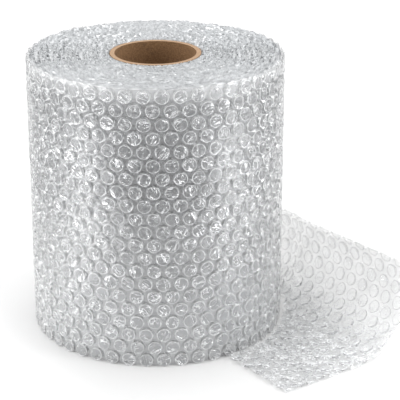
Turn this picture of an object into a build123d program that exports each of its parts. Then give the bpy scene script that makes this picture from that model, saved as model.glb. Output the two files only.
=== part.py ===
# A roll of bubble film standing on end: many turns of film wound on a board core tube. The free end
# leaves the roll at its back right, comes round its side and lies out on the floor in front of it.
# The roll's axis is Z and stands on z = 0. The front of the roll looks along -Y.
from build123d import *
import math
import os

# The roll and its core, in mm
film_width = 264.0
roll_radius = 120.0
core_bore_radius = 38.1
core_wall = 4.3
core_clearance = 0.3

# The film: its bubbles face outward on the roll
film_thickness = 4.1
web_thickness = 1.0
turn_gap = 0.4
bubble_pitch = 16.1
row_pitch = 12.6

# The free end, in mm and degrees
tail_azimuth = 33.7
tail_length = 207.0
tail_width_standing = 88.0
tail_width_lying = 113.0
foot_inset = 12.0
foot_radius = 60.0
foot_angle = 31.0
curl_angle = 122.0
curl_relax_angle = 30.0
straight_angle = 0.01
floor_clearance = 1.0

# Where the outer turn changes, in bubbles along the film
climb_cells = 3
settle_cells = 2
slope_cells = 9

# Counts and steps that follow from the sizes
cells_per_turn = 2 * round(math.pi * roll_radius / bubble_pitch)
cell_angle = math.tau / cells_per_turn
row_count = round(film_width / row_pitch)
row_height = film_width / row_count
rows_standing = round(tail_width_standing / row_height)
rows_lying = round(tail_width_lying / row_height)
tail_cells = round(tail_length / bubble_pitch)
cell_length = tail_length / tail_cells
foot_offset = roll_radius - foot_inset

# The inner turns are flat-sided, and their flats clear the round core
core_outer_radius = core_bore_radius + core_wall
inner_radius = (core_outer_radius + core_clearance) / math.cos(cell_angle)
winding_depth = roll_radius - film_thickness - inner_radius
turn_count = 1 + int(winding_depth / (film_thickness + turn_gap))
turn_pitch = winding_depth / (turn_count - 1)

# Stations count bubbles along the film from its inner end
leave_station = turn_count * cells_per_turn
end_station = leave_station + tail_cells
slope_end = leave_station - climb_cells
slope_start = slope_end - slope_cells
bubble_start = 2 * ((slope_start - cells_per_turn) // 2)

# The frame of the free end: along its heading, and outward from the roll
leave_angle = math.radians(tail_azimuth)
heading = Vector(math.sin(leave_angle), -math.cos(leave_angle), 0)
outward = Vector(math.cos(leave_angle), math.sin(leave_angle), 0)

leave_radius = roll_radius + turn_pitch - film_thickness
foot_travel = math.sqrt(leave_radius**2 - foot_offset**2)
standing_width = rows_standing * row_height


def smooth(share):
    share = min(max(share, 0), 1)
    return share * share * (3 - 2 * share)


def flat_radius(station):
    """Radius of the film's flat side on the roll. Each turn climbs onto the next at its end."""
    turn = min(int(station // cells_per_turn), turn_count - 1)
    climb_start = (turn + 1) * cells_per_turn - climb_cells
    return inner_radius + turn_pitch * (turn + smooth((station - climb_start) / climb_cells))


def section_point(station, height, depth, foot, travel):
    """Offset and level of a film point in the upright plane across the film."""
    let_off = smooth((station - slope_end) / (climb_cells + settle_cells))
    relax = curl_relax_angle * (max(travel, 0) / tail_length) ** 2
    foot_lean = math.radians(90 + let_off * (foot_angle - 90))
    top_lean = math.radians(90 + let_off * (curl_angle - relax - 90))
    lift = film_thickness * math.cos(foot_lean)
    lift += (film_thickness + foot_radius) * (1 - math.cos(foot_lean)) * smooth(travel / foot_travel)
    if height >= 0:
        bend = (top_lean - foot_lean) / standing_width
        lean = foot_lean + bend * height
        if abs(top_lean - foot_lean) < math.radians(straight_angle):
            offset, level = foot + height * math.cos(lean), lift + height * math.sin(lean)
        else:
            offset = foot + (math.sin(lean) - math.sin(foot_lean)) / bend
            level = lift + (math.cos(foot_lean) - math.cos(lean)) / bend
    else:
        lean = max(foot_lean + height / foot_radius, 0)
        run = max(-height - foot_radius * foot_lean, 0)
        offset = foot - foot_radius * (math.sin(foot_lean) - math.sin(lean)) - run
        level = lift - foot_radius * (math.cos(lean) - math.cos(foot_lean))
    return offset + depth * math.sin(lean), level - depth * math.cos(lean)


def film_point(station, height, depth):
    """A point of the film: bubbles along it, height across it, depth from its flat side."""
    if station <= slope_end:
        angle = leave_angle + (leave_station - station) * cell_angle
        radius = flat_radius(station) + depth
        return Vector(radius * math.cos(angle), radius * math.sin(angle), height)
    travel = (station - leave_station) * cell_length
    if station <= leave_station:
        angle = leave_angle + (leave_station - station) * cell_angle
        foot = flat_radius(station)
        offset, level = section_point(station, height, depth, foot, travel)
        return Vector(offset * math.cos(angle), offset * math.sin(angle), level)
    foot = max(math.sqrt(max(leave_radius**2 - travel**2, 0)), foot_offset)
    offset, level = section_point(station, height, depth, foot, travel)
    return heading * travel + outward * offset + Vector(0, 0, level)


def border_height(row):
    return row * row_height


def border_start(row):
    """Station where a lying border begins, clear of the roll's foot. Border 0 is the foot itself."""
    reach, offset = leave_radius, foot_offset
    if row < 0:
        reach = roll_radius + floor_clearance
        offset = film_point(end_station, border_height(row), 0).dot(outward)
    return leave_station + math.sqrt(reach**2 - offset**2) / cell_length


def border_end(row):
    """Station where a border ends: at the cut end, or on the sloping edge at the back of the roll."""
    if row < rows_standing:
        return end_station
    share = (row_count - row) / (row_count - rows_standing)
    return slope_start + slope_cells * math.acos(1 - 2 * share) / math.pi


def border(row, start, end, step, depth):
    """Points along the border under a row, each with its station."""
    marks = [n * step for n in range(math.floor(start / step) + 1, math.ceil(end / step))]
    if row == 0 and start < border_start(0) < end:
        marks.append(border_start(0))
    marks = [start] + sorted(marks) + [end] * (end > start)
    return [(mark, film_point(mark, border_height(row), depth)) for mark in marks]


def row_borders(row, first_station, step, depth):
    """The borders under and over a row."""
    low_start = high_start = first_station
    if row < 0:
        low_start, high_start = border_start(row), border_start(row + 1)
    low_end, high_end = border_end(row), border_end(row + 1)
    if row + 1 == rows_standing:
        high_end = end_station
    low = border(row, low_start, low_end, step, depth)
    high = border(row + 1, high_start, high_end, step, depth)
    return low, high


def zip_faces(low, high):
    """Triangles between two runs of points."""
    faces, a, b = [], 0, 0
    while a < len(low) - 1 or b < len(high) - 1:
        if b == len(high) - 1 or (a < len(low) - 1 and low[a + 1][0] <= high[b + 1][0]):
            faces.append((low[a][1], low[a + 1][1], high[b][1]))
            a += 1
        else:
            faces.append((low[a][1], high[b + 1][1], high[b][1]))
            b += 1
    return faces


def bubble_row(row):
    """A row of the bubble side: a raised cell for each whole bubble, and plain web at the row's ends."""
    low, high = row_borders(row, bubble_start, 0.5, web_thickness)
    shift = 0.5 * (row % 2)
    first = math.ceil(max(low[0][0], high[0][0]) - shift) + shift
    last = math.floor(min(low[-1][0], high[-1][0]) - shift) + shift
    if last <= first:
        return zip_faces(low, high)
    faces = zip_faces([p for p in low if p[0] <= first], [p for p in high if p[0] <= first])
    faces += zip_faces([p for p in low if p[0] >= last], [p for p in high if p[0] >= last])
    for cell in range(round(last - first)):
        begin = first + cell
        crown = film_point(begin + 0.5, border_height(row + 0.5), film_thickness)
        below = [p[1] for p in low if begin <= p[0] <= begin + 1]
        above = [p[1] for p in high if begin <= p[0] <= begin + 1]
        ring = below + above[::-1]
        faces += [(ring[n - 1], ring[n], crown) for n in range(len(ring))]
    return faces


def edge_faces(start_row, start, end_row, end):
    """The film's edge between two of its corners, along a border or across one row."""
    if start_row == end_row:
        web = border(start_row, start, end, 0.5, web_thickness)
        flat = border(start_row, start, end, 1, 0)
    else:
        web = [(n, film_point(s, border_height(row), web_thickness))
               for n, (row, s) in enumerate(((start_row, start), (end_row, end)))]
        flat = [(n, film_point(s, border_height(row), 0))
                for n, (row, s) in enumerate(((start_row, start), (end_row, end)))]
    return zip_faces(web, flat)


def bubble_film_faces():
    """Faces of the last turn and the free end, where the bubbles show."""
    rows = range(-rows_lying, row_count)
    faces = []
    for row in rows:
        faces += bubble_row(row)
        faces += zip_faces(*row_borders(row, slope_start, 1, 0))
    # Edges: lower edge of the roll, round its foot, the long edge on the floor, the cut end
    faces += edge_faces(0, bubble_start, 0, border_start(0))
    for row in range(-rows_lying, 0):
        faces += edge_faces(row + 1, border_start(row + 1), row, border_start(row))
    faces += edge_faces(-rows_lying, border_start(-rows_lying), -rows_lying, end_station)
    for row in range(-rows_lying, rows_standing):
        faces += edge_faces(row, end_station, row + 1, end_station)
    # Edges: top of the free end, the slope down the back of the roll, the roll's upper edge
    faces += edge_faces(rows_standing, slope_end, rows_standing, end_station)
    for row in range(rows_standing, row_count):
        faces += edge_faces(row, border_end(row), row + 1, border_end(row + 1))
    faces += edge_faces(row_count, bubble_start, row_count, slope_start)
    return faces


def wall_face(start, end, depth):
    """Upright face of one step of a turn. Where it meets the rows of the free end it has their points."""
    levels = [0, film_width]
    if end == slope_start:
        levels = [border_height(row) for row in range(row_count + 1)]
    near = [film_point(start, film_width, depth), film_point(start, 0, depth)]
    return near + [film_point(end, level, depth) for level in levels]


def wound_faces():
    """Faces of the turns under the last one, and the flat side of the last one."""
    faces = []
    for start in range(0, bubble_start, 2):
        end = start + 2
        faces.append(wall_face(start, end, 0))
        faces.append(wall_face(start, end, film_thickness))
        for level in (0, film_width):
            rim = [(start, 0), (start, film_thickness), (end, film_thickness), (end, 0)]
            if end == bubble_start:
                rim.insert(3, (end, web_thickness))
            faces.append([film_point(station, level, depth) for station, depth in rim])
    for start in range(bubble_start, slope_start):
        faces.append(wall_face(start, start + 1, 0))
    # Inner end of the film, and the step where its bubbles begin
    corners = ((0, 0), (0, film_thickness), (film_width, film_thickness), (film_width, 0))
    faces.append([film_point(0, level, depth) for level, depth in corners])
    step = [film_point(bubble_start, level, film_thickness) for level in (film_width, 0)]
    step += [film_point(bubble_start, border_height(row), web_thickness) for row in range(row_count + 1)]
    faces.append(step)
    return faces


with BuildPart() as bubble_film:
    outlines = wound_faces() + bubble_film_faces()
    faces = [Face(Wire.make_polygon(outline, close=True)) for outline in outlines]
    add(Solid(Shell(faces)))
bubble_film.part.label = "bubble_film"

with BuildPart() as core_tube:
    with BuildSketch():
        Circle(core_outer_radius)
        Circle(core_bore_radius, mode=Mode.SUBTRACT)
    extrude(amount=film_width)
core_tube.part.label = "core_tube"

os.makedirs("parts", exist_ok=True)
export_step(bubble_film.part, "parts/bubble_film.step")
export_step(core_tube.part, "parts/core_tube.step")
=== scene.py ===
# A roll of clear bubble film on a brown board core tube, standing on end. The free end of the film
# leaves the roll at its back right, comes round its side and lies out on the floor in front of it.
# Lengths are in metres.
import math
import bpy
import numpy as np
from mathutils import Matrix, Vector
from types import SimpleNamespace


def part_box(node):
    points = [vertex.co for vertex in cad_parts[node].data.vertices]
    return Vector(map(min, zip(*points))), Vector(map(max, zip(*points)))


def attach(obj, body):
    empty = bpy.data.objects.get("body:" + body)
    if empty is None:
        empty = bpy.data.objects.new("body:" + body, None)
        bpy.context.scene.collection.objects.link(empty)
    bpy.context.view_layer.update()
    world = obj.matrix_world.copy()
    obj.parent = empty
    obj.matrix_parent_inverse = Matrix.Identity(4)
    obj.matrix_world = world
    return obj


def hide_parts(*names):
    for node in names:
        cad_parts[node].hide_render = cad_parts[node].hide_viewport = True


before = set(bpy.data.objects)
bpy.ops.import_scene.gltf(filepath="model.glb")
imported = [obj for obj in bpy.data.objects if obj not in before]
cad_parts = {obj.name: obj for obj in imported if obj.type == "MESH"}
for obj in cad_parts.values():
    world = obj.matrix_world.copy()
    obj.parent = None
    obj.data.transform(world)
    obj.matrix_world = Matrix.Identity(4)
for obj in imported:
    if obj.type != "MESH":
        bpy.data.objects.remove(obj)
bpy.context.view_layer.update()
chance = np.random.default_rng(24)
nearly = 1e-6

# The frame's own sizes
film_low, film_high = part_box("bubble_film")
film_width = film_high[2] - film_low[2]
core_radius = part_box("core_tube")[1][0]

# The roll, as the part's source has it. Stations count bubbles along the film from its inner end
roll_radius = 0.120
core_clearance = 0.0003
film_thickness = 0.0041
turn_count = 17
cells_per_turn = 46
row_count = 21
climb_cells = 3
settle_cells = 2
slope_cells = 9

# The free end, as the part's source has it
tail_azimuth = math.radians(33.7)
tail_length = 0.207
tail_cells = 13
rows_standing = 7
rows_lying = 9
foot_inset = 0.012
foot_radius = 0.060
foot_angle = 31.0
curl_angle = 122.0
curl_relax_angle = 30.0
floor_clearance = 0.001
least_bend = 1e-4

# What follows from these sizes
foot_offset = roll_radius - foot_inset
cell_angle = math.tau / cells_per_turn
cell_length = tail_length / tail_cells
row_height = film_width / row_count
standing_width = rows_standing * row_height
lying_width = rows_lying * row_height
inner_radius = (core_radius + core_clearance) / math.cos(cell_angle)
turn_pitch = (roll_radius - film_thickness - inner_radius) / (turn_count - 1)
leave_station = turn_count * cells_per_turn
end_station = leave_station + tail_cells
slope_end = leave_station - climb_cells
slope_start = slope_end - slope_cells
bubble_start = 2 * ((slope_start - cells_per_turn) // 2)
leave_radius = roll_radius + turn_pitch - film_thickness
foot_travel = math.sqrt(leave_radius**2 - foot_offset**2)

# The bubbled skin. The web between its bubbles is thinner than in the solids, and its free end is
# cut off through a row of bubbles
web_thickness = 0.0005
rows_cut = 0.45
free_height = (rows_standing - rows_cut) * row_height
bubble_radius = 0.0065
smallest_bubble = 0.96
bubble_spread = 0.05

# Rings of a bubble, from its foot in to its flat top: shares of its radius and of its height
ring_shares = (1.0, 0.98, 0.93, 0.55)
ring_lifts = (0.0, 0.72, 0.95, 1.0)

# The sunk crease across a bubble's top: its width and how far off the middle it runs, in shares of
# the radius, and how deep it is, in shares of the height
crease_width = 0.33
crease_offset = 0.9
crease_depth = 0.10
crease_depth_spread = 0.34

# Down towards the floor the free end's bubbles look pressed. The change takes this many rows, and
# this share of it lies above the foot, where heights start
press_rows = 5
press_share_above = 0.75

# How far past the film's edges, in bubbles, a cell's middle may be
cell_margin = 1.2

# The cut edges of the turns. Under the last turn their bubbles are cut through, each as a low arch
edge_steps = 6
edge_levels = (-0.006, -0.0016, 0.0)
edge_clearance = 0.0002
foot_gap = 0.0006
highest_tooth = 0.0012
arch_half = 0.82
arch_height = 0.85
least_arch = 0.25

# How the edges stray, on the turns underneath and on the last turn: sideways, in height, in lean
edge_wander = (0.00018, 0.00004)
edge_ragged = (0.0005, 0.0011)
edge_lean = (0.00025, 0.00005)

# The wound body under the edges
mass_clearance = 0.0004
mass_bulge = 0.0003
mass_depth = 0.0024
mass_groove = 0.001
mass_rings = 18


# The film's shape: stations run along it, heights across it, depths from its flat side

def smooth(share):
    share = np.clip(share, 0, 1)
    return share * share * (3 - 2 * share)


def flat_radius(station):
    """Radius of the flat side on the roll. Each turn climbs onto the next at its end."""
    turn = np.minimum(station // cells_per_turn, turn_count - 1)
    climb_start = (turn + 1) * cells_per_turn - climb_cells
    return inner_radius + turn_pitch * (turn + smooth((station - climb_start) / climb_cells))


def across_film(station, height, depth, foot, travel):
    """Offset and level of film points in the upright plane across the film."""
    let_off = smooth((station - slope_end) / (climb_cells + settle_cells))
    relax = curl_relax_angle * (np.maximum(travel, 0) / tail_length) ** 2
    foot_lean = np.radians(90 + let_off * (foot_angle - 90))
    top_lean = np.radians(90 + let_off * (curl_angle - relax - 90))
    lift = film_thickness * np.cos(foot_lean)
    curl_lift = (film_thickness + foot_radius) * (1 - np.cos(foot_lean))
    lift += curl_lift * smooth(travel / foot_travel)
    bend = (top_lean - foot_lean) / standing_width
    bend = np.where(np.abs(bend) < least_bend, least_bend, bend)
    up_lean = foot_lean + bend * height
    up_offset = foot + (np.sin(up_lean) - np.sin(foot_lean)) / bend
    up_level = lift + (np.cos(foot_lean) - np.cos(up_lean)) / bend
    low_lean = np.maximum(foot_lean + height / foot_radius, 0)
    run = np.maximum(-height - foot_radius * foot_lean, 0)
    low_offset = foot - foot_radius * (np.sin(foot_lean) - np.sin(low_lean)) - run
    low_level = lift - foot_radius * (np.cos(low_lean) - np.cos(foot_lean))
    lean = np.where(height >= 0, up_lean, low_lean)
    offset = np.where(height >= 0, up_offset, low_offset) + depth * np.sin(lean)
    level = np.where(height >= 0, up_level, low_level) - depth * np.cos(lean)
    return offset, level


def film_points(station, height, depth):
    """Points of the film, as an array of x, y, z."""
    station, height, depth = np.broadcast_arrays(
        np.asarray(station, float), np.asarray(height, float), np.asarray(depth, float))
    travel = (station - leave_station) * cell_length
    wound = station <= leave_station
    angle = tail_azimuth + np.where(wound, (leave_station - station) * cell_angle, 0)
    circle = np.sqrt(np.maximum(leave_radius**2 - travel**2, 0))
    foot = np.where(wound, flat_radius(station), np.maximum(circle, foot_offset))
    offset, level = across_film(station, height, depth, foot, travel)
    tight = station <= slope_end
    offset = np.where(tight, flat_radius(station) + depth, offset)
    level = np.where(tight, height, level)
    ahead = np.where(wound, 0, travel)
    x = offset * np.cos(angle) + ahead * math.sin(tail_azimuth)
    y = offset * np.sin(angle) - ahead * math.cos(tail_azimuth)
    return np.stack([x, y, level], -1)


def slope_station(height):
    """Station where the film is cut off on the slope down the back of the roll."""
    share = np.clip((film_width - height) / (film_width - standing_width), 0, 1)
    return slope_start + slope_cells * np.arccos(1 - 2 * share) / math.pi


def on_last_turn(station, height, margin):
    """True where the film is there: not cut off by the slope, and not inside the roll's foot."""
    there = (height <= standing_width) | (station <= slope_station(height) + margin)
    place = film_points(station, height, 0)
    least_radius = roll_radius + floor_clearance - margin * cell_length
    clear = np.hypot(place[..., 0], place[..., 1]) >= least_radius
    on_floor = (height >= 0) | ((station > leave_station) & clear)
    inside = (height >= -lying_width - nearly) & (height <= film_width + nearly)
    return there & on_floor & inside & (station <= end_station + margin) & (station >= bubble_start)


def on_roll(station, height, margin):
    return on_last_turn(station, height, margin) & (station <= slope_end + nearly)


def on_free_end(station, height, margin):
    return on_last_turn(station, height, margin) & (station >= slope_end - nearly)


# Meshes

def add_piece(name, points, faces, finish, corner_maps=None):
    """A piece from its points and faces, without the points that no face has."""
    used = np.unique(np.concatenate([list(face) for face in faces]))
    place = np.zeros(len(points), int)
    place[used] = np.arange(len(used))
    points, faces = points[used], [place[list(face)] for face in faces]
    mesh = bpy.data.meshes.new(name)
    mesh.from_pydata(points.tolist(), [], [face.tolist() for face in faces])
    mesh.materials.append(finish)
    for map_name, values in (corner_maps or {}).items():
        layer = mesh.uv_layers.new(name=map_name)
        layer.data.foreach_set("uv", np.asarray(values, np.float32).ravel())
    mesh.polygons.foreach_set("use_smooth", [True] * len(mesh.polygons))
    mesh.validate()
    piece = bpy.data.objects.new(name, mesh)
    bpy.context.scene.collection.objects.link(piece)
    return piece


def flatten_shade(piece, level_normals, share):
    """Turns a bubbled skin's shading towards that of flat film: light goes through its bubbles."""
    mesh = piece.data
    count = len(mesh.vertices)
    level_normals = level_normals / np.linalg.norm(level_normals, axis=1, keepdims=True)
    own = np.empty(count * 3)
    mesh.vertex_normals.foreach_get("vector", own)
    own = own.reshape(count, 3)
    facing = np.sign((own * level_normals).sum(1, keepdims=True))
    mixed = own * (1 - share) + level_normals * facing * share
    mixed /= np.linalg.norm(mixed, axis=1, keepdims=True)
    mesh.normals_split_custom_set_from_vertices(mixed.tolist())


def cell_border():
    """A cell's border, anticlockwise from its lower left corner, in shares from its middle."""
    corners = ((-0.5, -0.5), (0, -0.5), (0.5, -0.5), (0.5, 0.5), (0, 0.5), (-0.5, 0.5))
    counts = (3, 3, 4, 3, 3, 4)
    border = []
    for (x0, y0), (x1, y1), count in zip(corners, corners[1:] + corners[:1], counts):
        border += [(x0 + (x1 - x0) * n / count, y0 + (y1 - y0) * n / count) for n in range(count)]
    return np.array(border)


def ring_faces(first, count, further):
    """Four-sided faces between a closed ring of points and a like ring further on in the list."""
    pairs = [(first + n, first + (n + 1) % count) for n in range(count)]
    return [(a, b, b + further, a + further) for a, b in pairs]


def cell_faces(count):
    """A cell's faces: rings from its border in, and a fan of triangles round its middle."""
    rings = len(ring_shares)
    faces = []
    for ring in range(rings):
        faces += ring_faces(ring * count, count, count)
    last, middle = rings * count, (rings + 1) * count
    return faces + [(last + n, last + (n + 1) % count, middle) for n in range(count)]


def creased_bubble(border):
    """A bubble's points from its middle, their depths, its radius, and two draws for its finish."""
    draw = chance.random(6)
    radius = bubble_radius * (smallest_bubble + bubble_spread * draw[0])
    corners = border * (cell_length, row_height)
    heading = np.arctan2(corners[:, 1], corners[:, 0])
    room = np.maximum(1.0, radius / np.linalg.norm(corners, axis=1, keepdims=True))
    circle = np.stack([np.cos(heading), np.sin(heading)], -1)
    rings = [radius * share * circle for share in ring_shares]
    spots = np.concatenate([corners * room, *rings, np.zeros((1, 2))])
    lifts = np.append(np.repeat([0.0, *ring_lifts], len(border)), 1.0)
    turn, offset = draw[1] * math.pi, (draw[2] - 0.5) * crease_offset
    across = (spots[:, 0] * math.cos(turn) + spots[:, 1] * math.sin(turn)) / radius
    sink = crease_depth + crease_depth_spread * draw[3] ** 2
    crease = np.exp(-((across - offset) / crease_width) ** 2) * sink
    depths = web_thickness + (film_thickness - web_thickness) * lifts * (1 - crease)
    return spots, depths, radius, draw[4:6]


def bubble_sheet(name, finish, rows, first_station, last_station, top_height, flatness, keep):
    """A stretch of the bubble side, cut off at top_height. keep says where the film is there."""
    border = cell_border()
    outlines = [list(outline) for outline in cell_faces(len(border))]
    points, normals, faces, places, draws, presses = [], [], [], [], [], []
    for row in rows:
        shift = 0.5 * (row % 2)
        first_cell, last_cell = math.floor(first_station - shift), math.ceil(last_station - shift)
        for cell in range(first_cell, last_cell + 1):
            station, height = cell + shift + 0.5, (row + 0.5) * row_height
            if not keep(np.array([station]), np.array([height]), cell_margin)[0]:
                continue
            spots, depths, radius, own_draws = creased_bubble(border)
            stations = station + spots[:, 0] / cell_length
            heights = height + spots[:, 1]
            beyond = heights > top_height + nearly
            heights = np.minimum(heights, top_height)
            depths = np.where(beyond, web_thickness, depths)
            there = keep(stations, heights, 0)
            press = smooth(press_share_above - heights / (press_rows * row_height))
            press = press * (stations > leave_station)
            start = len(points)
            points.extend(film_points(stations, heights, depths))
            outward = film_points(stations, heights, 1.0) - film_points(stations, heights, 0.0)
            normals.extend(outward)
            for outline in outlines:
                if not there[outline].all() or beyond[outline].all():
                    continue
                faces.append([start + corner for corner in outline])
                places.extend(spots[outline] / radius)
                draws.extend([own_draws] * len(outline))
                presses.extend([(press[corner], 0) for corner in outline])
    maps = {"bubble_place": places, "bubble_draw": draws, "bubble_press": presses}
    sheet = add_piece(name, np.array(points), faces, finish, maps)
    flatten_shade(sheet, np.array(normals)[np.unique(np.concatenate(faces))], flatness)
    return sheet


def turn_edges(name, finish, top):
    """The cut edges of all the turns at one end of the roll: a flat film and a bubbled one."""
    count = int((slope_start if top else bubble_start) * edge_steps)
    station = np.arange(count + 1) / edge_steps
    underneath = station < bubble_start
    turn = station // cells_per_turn
    shift = chance.random(turn_count + 1)[turn.astype(int)]
    within = np.abs((station + shift) % 1 - 0.5) * 2
    own_sizes = chance.random(leave_station + 2)
    size = least_arch + (1 - least_arch) * own_sizes[(station + shift).astype(int)]
    arch = np.sqrt(np.clip(1 - (within / arch_half) ** 2, 0, 1)) * size
    raised = web_thickness + (film_thickness - web_thickness) * arch_height * arch
    raised = np.where(underneath, raised, 0)
    jitter = chance.normal(0, 1, (4, count + 1))
    wander, ragged, lean = [
        np.where(underneath, *amounts) for amounts in (edge_wander, edge_ragged, edge_lean)]
    points, faces = [], []
    for layer in range(2):
        depth = edge_clearance + layer * raised + jitter[layer] * wander
        for number, level in enumerate(edge_levels):
            rise = level + (jitter[2 + layer] * ragged if level == 0 else 0)
            height = film_width + rise if top else foot_gap - rise
            height = np.clip(height, edge_clearance, film_width + highest_tooth)
            tilt = jitter[(layer + number) % 4] * lean * number
            points.append(film_points(station, height, depth + tilt))
        for number in range(len(edge_levels) - 1):
            low = (layer * len(edge_levels) + number) * (count + 1)
            high = low + count + 1
            faces += [(low + n, low + n + 1, high + n + 1, high + n) for n in range(count)]
    return add_piece(name, np.concatenate(points), faces, finish)


def wound_mass(name, finish):
    """What lies under the edges and behind the last turn: the closed body of the wound film."""
    stations = bubble_start + np.arange(cells_per_turn * 2) / 2
    turned = tail_azimuth + (leave_station - stations) * cell_angle
    least = core_radius + mass_clearance
    outer = flat_radius(stations) + mass_bulge
    rings = []
    for n, share in enumerate(np.linspace(0, 1, mass_rings)):
        level = film_width - mass_depth - mass_groove * (n % 2)
        rings.append((least + share * (outer - least), level))
    rings += [(radius, film_width - level) for radius, level in reversed(rings)]
    count = len(stations)
    points, faces = [], []
    for ring, (radius, level) in enumerate(rings):
        places = [radius * np.cos(turned), radius * np.sin(turned), np.full(count, level)]
        points.append(np.stack(places, -1))
        further = count if ring + 1 < len(rings) else -ring * count
        faces += ring_faces(ring * count, count, further)
    return add_piece(name, np.concatenate(points), faces, finish)


def flat_skin(name, finish, first_station, last_station, top_height):
    """The flat side of the film where it comes off the roll, and its area before it was bent."""
    steps = 4
    stations = np.arange(first_station * steps, last_station * steps + 1) / steps
    heights = np.arange(-rows_lying * 2, row_count * 2 + 1) * row_height / 2
    heights = np.append(heights[heights < top_height - nearly], top_height)
    places = [grid.ravel() for grid in np.meshgrid(stations, heights, indexing="ij")]
    there = on_last_turn(*places, 0)
    rows = len(heights)
    faces, area = [], 0
    for i in range(len(stations) - 1):
        for j in range(rows - 1):
            corner, beside = i * rows + j, (i + 1) * rows + j
            face = (corner, beside, beside + 1, corner + 1)
            if there[list(face)].all():
                faces.append(face)
                area += cell_length / steps * (heights[j + 1] - heights[j])
    return add_piece(name, film_points(*places, 0), faces, finish), area


# Shader maths

class Signal:
    """A socket's value, which can be used in sums."""

    def __init__(self, finish, socket):
        self.finish, self.socket = finish, socket

    def math(self, operation, *others):
        return self.finish.node("ShaderNodeMath", {"operation": operation}, [self, *others])

    def __add__(self, other):
        return self.math("ADD", other)

    def __sub__(self, other):
        return self.math("SUBTRACT", other)

    def __rsub__(self, other):
        return self.finish.node("ShaderNodeMath", {"operation": "SUBTRACT"}, [other, self])

    def __mul__(self, other):
        return self.math("MULTIPLY", other)

    def __truediv__(self, other):
        return self.math("DIVIDE", other)

    def __pow__(self, other):
        return self.math("POWER", other)

    __radd__ = __add__


class Finish:
    """A look with one shader. Its owner is a new material, or the world."""

    def __init__(self, owner, shader="Principled BSDF", **constants):
        owner.use_nodes = True
        self.owner, self.tree = owner, owner.node_tree
        self.shader = self.tree.nodes[shader]
        for socket, value in constants.items():
            self.shader.inputs[socket.replace("_", " ")].default_value = value

    def node(self, kind, settings=None, values=(), output=0):
        node = self.tree.nodes.new(kind)
        for name, value in (settings or {}).items():
            setattr(node, name, value)
        pairs = values.items() if isinstance(values, dict) else enumerate(values)
        for name, value in pairs:
            self.join(node.inputs[name], value)
        return Signal(self, node.outputs[output])

    def join(self, socket, value):
        if isinstance(value, Signal):
            self.tree.links.new(value.socket, socket)
        else:
            socket.default_value = value

    def feed(self, name, value):
        self.join(self.shader.inputs[name], value)

    def place(self):
        return self.node("ShaderNodeTexCoord", output="Object")

    def split(self, vector):
        """The three numbers of a vector."""
        first = self.node("ShaderNodeSeparateXYZ", None, [vector])
        return [Signal(self, socket) for socket in first.socket.node.outputs]

    def vector(self, *numbers):
        return self.node("ShaderNodeCombineXYZ", None, numbers)

    def corner_map(self, name):
        """The two numbers of one of a mesh's maps."""
        return self.split(self.node("ShaderNodeUVMap", {"uv_map": name}))[:2]

    def noise(self, where, scale=1.0, detail=2.0, roughness=0.5):
        values = {"Vector": where, "Scale": scale, "Detail": detail, "Roughness": roughness}
        return self.node("ShaderNodeTexNoise", None, values)

    def blend(self, share, low, high):
        values = {0: share, 6: low, 7: high}
        return self.node("ShaderNodeMix", {"data_type": "RGBA"}, values, output=2)

    def between(self, value, low, high, to_low=0.0, to_high=1.0):
        settings = {"interpolation_type": "SMOOTHSTEP"}
        return self.node("ShaderNodeMapRange", settings, [value, low, high, to_low, to_high])

    def thin_lines(self, noise, sharpness):
        """Bright lines where a noise crosses its middle."""
        return (1 - ((noise - 0.5) * 2).math("ABSOLUTE") * sharpness).math("MAXIMUM", 0.0)

    def bump(self, height, distance, strength=1.0):
        values = {"Strength": strength, "Distance": distance, "Height": height}
        return self.node("ShaderNodeBump", None, values)


def new_material(name):
    return bpy.data.materials.new(name)


def grey(level, cast=0.01):
    """A cool grey, as a colour."""
    return level, level + cast, level + 2 * cast, 1


# Where the marks on a bubble fade in or out, in shares of its radius
inside_edge = (0.94, 0.86)
rim_inner, rim_outer = (0.83, 0.89), (0.98, 0.93)
wall_inner, wall_outer = (0.94, 0.98), (1.04, 1.0)

# Which of a noise's values make a broken rim, a glint on the wall, or a slack patch
rim_breaks = (0.3, 0.6)
glint_values = (0.54, 0.62)
patch_values = (0.42, 0.56)

crease_sharpness = 10.0
crease_sizes = (3.0, 2.2)
index_of_film = 1.5


def bubble_marks(finish):
    """Masks on each bubble's skin: its rim, which the finishes paint as a ring of light or as a
    grey line where light bends, its inside, its wall, its slack patch for bumps, and glints on its
    wall and along its creases, which are painted as highlights; the creases also give bumps. Its
    two draws give each bubble its own part of every noise.
    """
    across, up = finish.corner_map("bubble_place")
    draws = finish.corner_map("bubble_draw")
    reach = (across * across + up * up) ** 0.5
    inside = finish.between(reach, *inside_edge)
    rim = finish.between(reach, *rim_inner) * finish.between(reach, *rim_outer)
    coarse = finish.vector(across * 1.6 + draws[0] * 50, up * 1.6, draws[1] * 50)
    rim = rim * finish.between(finish.noise(coarse, detail=1.0), *rim_breaks, 0.5, 1.0)
    wall = finish.between(reach, *wall_inner) * finish.between(reach, *wall_outer)
    sparkle = finish.noise(finish.place(), scale=420.0, detail=1.0)
    glint = wall * finish.between(sparkle, *glint_values)
    crease = 0.0
    for draw, other, size in zip(draws, reversed(draws), crease_sizes):
        turn = draw * math.tau
        along = across * turn.math("COSINE") + up * turn.math("SINE")
        over = up * turn.math("COSINE") - across * turn.math("SINE")
        fine = finish.vector(over * size + other * 60, along * 0.5 + draw * 40, other * 9)
        broad = finish.vector(along * 0.9 + draw * 70, over * 0.9, other * 30)
        lines = finish.thin_lines(finish.noise(fine, detail=1.0), crease_sharpness)
        patch = finish.between(finish.noise(broad, detail=0.0), *patch_values)
        crease = lines * patch * inside + crease
    return SimpleNamespace(crease=crease.math("MINIMUM", 1.0), patch=patch * inside, rim=rim,
                           inside=inside, wall=wall, glint=glint)


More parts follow.
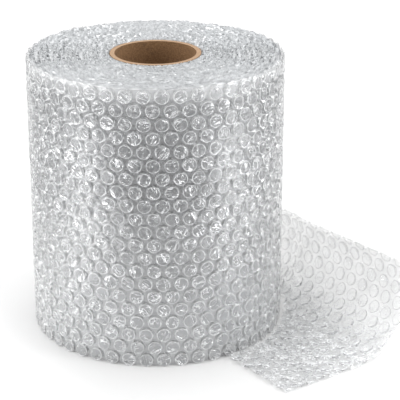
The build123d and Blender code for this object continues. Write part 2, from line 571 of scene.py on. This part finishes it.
def end_light(finish, top_share):
    """How much light comes through the clear film from its ends: from the floor, and from above."""
    floor_reach, foot_reach, top_reach = 0.18, 0.1, 0.022
    level = finish.split(finish.place())[2]
    from_floor = finish.between(level, floor_reach, 0.0) * 0.6
    at_foot = finish.between(level, foot_reach, 0.0) * 0.28
    from_top = finish.between(level, film_width - top_reach, film_width) * top_share
    return from_floor + at_foot + from_top


def wound_film_finish():
    """The film on the roll: many clear layers look pale grey, with glossy skin over them."""
    finish = Finish(new_material("wound_bubble_film"), Coat_Weight=1.0, Coat_Roughness=0.05,
                    Coat_IOR=index_of_film, IOR=index_of_film)
    marks = bubble_marks(finish)
    crease = marks.crease
    cloud = finish.noise(finish.place(), scale=210.0, roughness=0.6)
    lit = end_light(finish, 0.4)
    web = finish.blend(lit, grey(0.38, 0.005), grey(0.94))
    hollow = finish.blend(lit * 0.6, grey(0.18, 0.005), grey(0.66))
    skin = finish.blend(marks.inside * 0.9, web, hollow)
    skin = finish.blend(finish.between(cloud, 0.35, 0.7) * 0.25, skin, grey(0.54))
    # Painted light: the bubble walls are painted paler, lifting the shade on them as if light came
    # through the clear film
    skin = finish.blend(marks.wall * 0.7, skin, grey(0.8))
    # Painted highlight: each bubble's rim is painted near white, a ring of light on its shoulder
    skin = finish.blend(marks.rim * 0.82, skin, grey(0.97))
    # Painted highlights: the glints on the walls and the lines along the creases are painted near
    # white; the creases also get real bumps below
    skin = finish.blend(crease.math("MAXIMUM", marks.glint) * 0.9, skin, grey(0.94))
    cover = 0.4 + marks.inside * 0.15 + marks.rim * 0.25 + crease * 0.35 + marks.glint * 0.8
    finish.feed("Base Color", skin)
    finish.feed("Metallic", (0.45 + crease * 0.3).math("MINIMUM", 1.0))
    finish.feed("Roughness", 0.34 - crease * 0.15)
    finish.feed("Alpha", (cover - marks.wall * 0.32).math("MINIMUM", 1.0))
    finish.feed("Normal", finish.bump(crease + marks.patch * 0.4, distance=0.0005))
    return finish.owner


def inner_film_finish():
    """The turns behind the last one, seen through its clear skin."""
    finish = Finish(new_material("inner_film"), Metallic=0.4, Roughness=0.35, IOR=index_of_film)
    ripple = finish.noise(finish.place(), scale=300.0, roughness=0.6)
    skin = finish.blend(finish.between(ripple, 0.35, 0.65), grey(0.26, 0.005), grey(0.45))
    finish.feed("Base Color", finish.blend(end_light(finish, 0.5), skin, grey(0.9)))
    finish.feed("Normal", finish.bump(ripple, distance=0.001, strength=0.6))
    return finish.owner


# Streaks of light on the pressed film: how many to the metre along it and across it, how far they
# lean, and how thin they are
streaks_along, streaks_across = 110, 330
streak_lean = 0.12
streak_sharpness = 8.0


def free_film_finish():
    """The free end: one layer, clear between its bubbles, with grey rims where the light bends.
    Where it is pressed on the floor, its rims give way to long streaks of light."""
    finish = Finish(new_material("free_bubble_film"), Roughness=0.14, IOR=index_of_film)
    marks = bubble_marks(finish)
    press = finish.corner_map("bubble_press")[0]
    rim = marks.rim * (1 - press)
    x, y, z = finish.split(finish.place())
    drawn = finish.vector(x * streaks_along, (y + x * streak_lean) * streaks_across,
                          z * streaks_across)
    streak = finish.thin_lines(finish.noise(drawn, detail=1.0), streak_sharpness)
    crease = marks.crease * (1 - press * 0.75) + streak * press + marks.glint * 0.6
    crease = crease.math("MINIMUM", 1.0)
    skin = finish.blend(press, grey(0.3), grey(0.6))
    # Painted highlights: the creases, the streaks on the pressed film and the glints on the walls
    # are painted near white
    skin = finish.blend(crease, skin, grey(0.97))
    skin = finish.blend(rim, skin, grey(0.2))
    cover = 0.1 + rim * 0.25 + crease * (0.25 + press * 0.65) + press * 0.07
    finish.feed("Base Color", skin)
    finish.feed("Metallic", crease * (0.8 - press * 0.8))
    finish.feed("Alpha", cover.math("MINIMUM", 1.0))
    slack = (crease + marks.patch * 0.5) * (1 - press)
    finish.feed("Normal", finish.bump(slack, distance=0.0012))
    return finish.owner


def flat_film_finish():
    """The flat skin of the free end."""
    finish = Finish(new_material("flat_film"), Base_Color=grey(0.3), Roughness=0.1,
                    IOR=index_of_film)
    ripple = finish.noise(finish.place(), scale=45.0)
    finish.feed("Alpha", finish.between(ripple, 0.3, 0.8, 0.12, 0.26))
    finish.feed("Normal", finish.bump(ripple, distance=0.002, strength=0.5))
    return finish.owner


def film_edge_finish():
    """The cut edges of the turns: milky white with a wet gloss."""
    finish = Finish(new_material("film_edges"), Metallic=0.1, Roughness=0.25, Coat_Weight=1.0,
                    Coat_Roughness=0.06, IOR=index_of_film)
    cloud = finish.noise(finish.place(), scale=420.0, detail=3.0, roughness=0.6)
    milk = finish.blend(finish.between(cloud, 0.35, 0.65), grey(0.64), grey(0.86))
    finish.feed("Base Color", milk)
    finish.feed("Normal", finish.bump(cloud, distance=0.0008, strength=0.6))
    return finish.owner


# The tube's board: its colours, how far its spiral joints climb in a turn, and half a joint's width
# as a share of that
paper_dark, paper_light = (0.17, 0.09, 0.038, 1), (0.3, 0.17, 0.08, 1)
fleck_brown, joint_brown = (0.14, 0.075, 0.04, 1), (0.12, 0.065, 0.035, 1)
cut_dark, cut_light = (0.25, 0.155, 0.088, 1), (0.34, 0.22, 0.13, 1)
spiral_lead = 0.085
joint_share = 0.012


def board_finish():
    """Brown wound board: fibres, darker flecks, faint spiral joints, and a paler cut end."""
    finish = Finish(new_material("wound_board"), Roughness=0.85)
    place = finish.place()
    x, y, z = finish.split(place)
    fibre = finish.noise(place, scale=900.0, detail=3.0, roughness=0.65)
    fibre_light = finish.between(fibre, 0.3, 0.7)
    fleck = finish.noise(place, scale=260.0)
    spiral = (y.math("ARCTAN2", x) / math.tau + z / spiral_lead).math("FRACT")
    joint = finish.between((spiral - 0.5).math("ABSOLUTE"), joint_share, 0.0)
    paper = finish.blend(fibre_light, paper_dark, paper_light)
    paper = finish.blend(finish.between(fleck, 0.58, 0.7) * 0.5, paper, fleck_brown)
    paper = finish.blend(joint * 0.5, paper, joint_brown)
    cut = finish.blend(fibre_light, cut_dark, cut_light)
    normal = finish.node("ShaderNodeTexCoord", output="Normal")
    upward = finish.split(normal)[2].math("ABSOLUTE")
    finish.feed("Base Color", finish.blend(finish.between(upward, 0.5, 0.9), paper, cut))
    relief = fibre * 0.6 + fleck * 0.4 - joint
    finish.feed("Normal", finish.bump(relief, distance=0.0005, strength=0.5))
    return finish.owner


# The floor

def stage_floor():
    half, level = 6.0, -0.0002
    finish = Finish(new_material("studio_floor"), Roughness=0.9)
    cloud = finish.between(finish.noise(finish.place(), scale=3.0), 0.3, 0.7)
    finish.feed("Base Color", finish.blend(cloud, grey(0.59, 0), grey(0.61, 0)))
    ends = ((-half, -half), (half, -half), (half, half), (-half, half))
    corners = np.array([(x, y, level) for x, y in ends])
    floor = add_piece("floor", corners, [(0, 1, 2, 3)], finish.owner)


# The roll's pieces. How far their shading is that of flat film
roll_flatness = 0.88
free_flatness = 0.97

stage_floor()
wound_finish = wound_film_finish()
free_finish = free_film_finish()
edge_finish = film_edge_finish()
inner_finish = inner_film_finish()
skin_finish = flat_film_finish()

roll_bubbles = bubble_sheet("roll_bubbles", wound_finish, range(row_count), bubble_start,
                            slope_end - 1, film_width, roll_flatness, on_roll)
free_bubbles = bubble_sheet("free_bubbles", free_finish, range(-rows_lying, rows_standing),
                            slope_end, end_station, free_height, free_flatness, on_free_end)
roll_skin = flat_skin("roll_skin", inner_finish, slope_start, slope_end, film_width)[0]
free_skin, free_skin_area = flat_skin("free_skin", skin_finish, slope_end, end_station, free_height)
top_edges = turn_edges("top_edges", edge_finish, True)
lower_edges = turn_edges("lower_edges", edge_finish, False)
mass = wound_mass("wound_turns", inner_finish)

film_pieces = [mass, roll_bubbles, roll_skin, free_bubbles, free_skin, top_edges, lower_edges]
for piece in film_pieces:
    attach(piece, "root")
for piece in film_pieces:
    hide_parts("bubble_film")

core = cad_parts["core_tube"]
core.data.materials.clear()
core.data.materials.append(board_finish())


# Light and camera

def soft_light(name, place, target, size, power, spread=180):
    """A square-cornered soft light. Its power is in watts and its spread in degrees."""
    lamp = bpy.data.lights.new(name, "AREA")
    lamp.shape, lamp.energy = "RECTANGLE", power
    lamp.size, lamp.size_y = size
    lamp.spread = math.radians(spread)
    light = bpy.data.objects.new(name, lamp)
    light.location = place
    light.rotation_euler = (Vector(target) - Vector(place)).to_track_quat("-Z", "Y").to_euler()
    bpy.context.scene.collection.objects.link(light)


def floor_light(name, x, y, power):
    """A light straight down on a patch of the floor, which the roll's side mirrors."""
    height, size, spread = 0.5, 0.3, 60
    soft_light(name, (x, y, height), (x, y, 0), (size, size), power, spread)


camera_side_light = 0.02
side_light = 1.3
behind_loss = 0.5
overhead_light = 1.2


def studio_sky():
    """Bright overhead, white at the sides and behind the roll, and dark by the camera."""
    sky = Finish(bpy.data.worlds.new("studio"), "Background", Color=(1, 1, 1, 1))
    back, up = sky.split(sky.node("ShaderNodeTexCoord"))[1:]
    side = sky.between(back, -1.0, -0.1, camera_side_light, side_light)
    side = side - sky.between(back, -0.2, 0.6, 0.0, behind_loss)
    sky.feed("Strength", side + sky.between(up, 0.45, 0.95) * overhead_light)
    bpy.context.scene.world = sky.owner


# The camera, from the photograph: its place, its turn and tilt in degrees, and its focal length as
# a share of the picture's width
camera_back = 1.4282
camera_height = 0.6749
camera_yaw = 1.654
camera_pitch = 21.337
focal_share = 1599.4 / 400
sensor_width = 36


def studio_camera():
    lens = bpy.data.cameras.new("camera")
    lens.sensor_width = sensor_width
    lens.lens = sensor_width * focal_share
    camera = bpy.data.objects.new("camera", lens)
    camera.location = (0, -camera_back, camera_height)
    camera.rotation_euler = (math.radians(90 - camera_pitch), 0, -math.radians(camera_yaw))
    bpy.context.scene.collection.objects.link(camera)
    bpy.context.scene.camera = camera


# Where the softboxes stand, and the middle of the roll that they point at
left_place, right_place = (-1.32, -0.58, 0.55), (1.32, -0.58, 0.55)
top_place = (0.1, 0.54, 1.64)
roll_middle = (0, 0, film_width / 2)

studio_sky()
soft_light("left_softbox", left_place, roll_middle, size=(0.5, 0.7), power=9)
soft_light("right_softbox", right_place, roll_middle, size=(0.5, 0.7), power=9)
soft_light("top_softbox", top_place, roll_middle, size=(1.2, 1.0), power=8)
floor_light("left_floor_light", x=-0.45, y=-0.27, power=3)
floor_light("right_floor_light", x=0.52, y=-0.26, power=3.8)
studio_camera()
bpy.context.scene.view_settings.view_transform = "Standard"
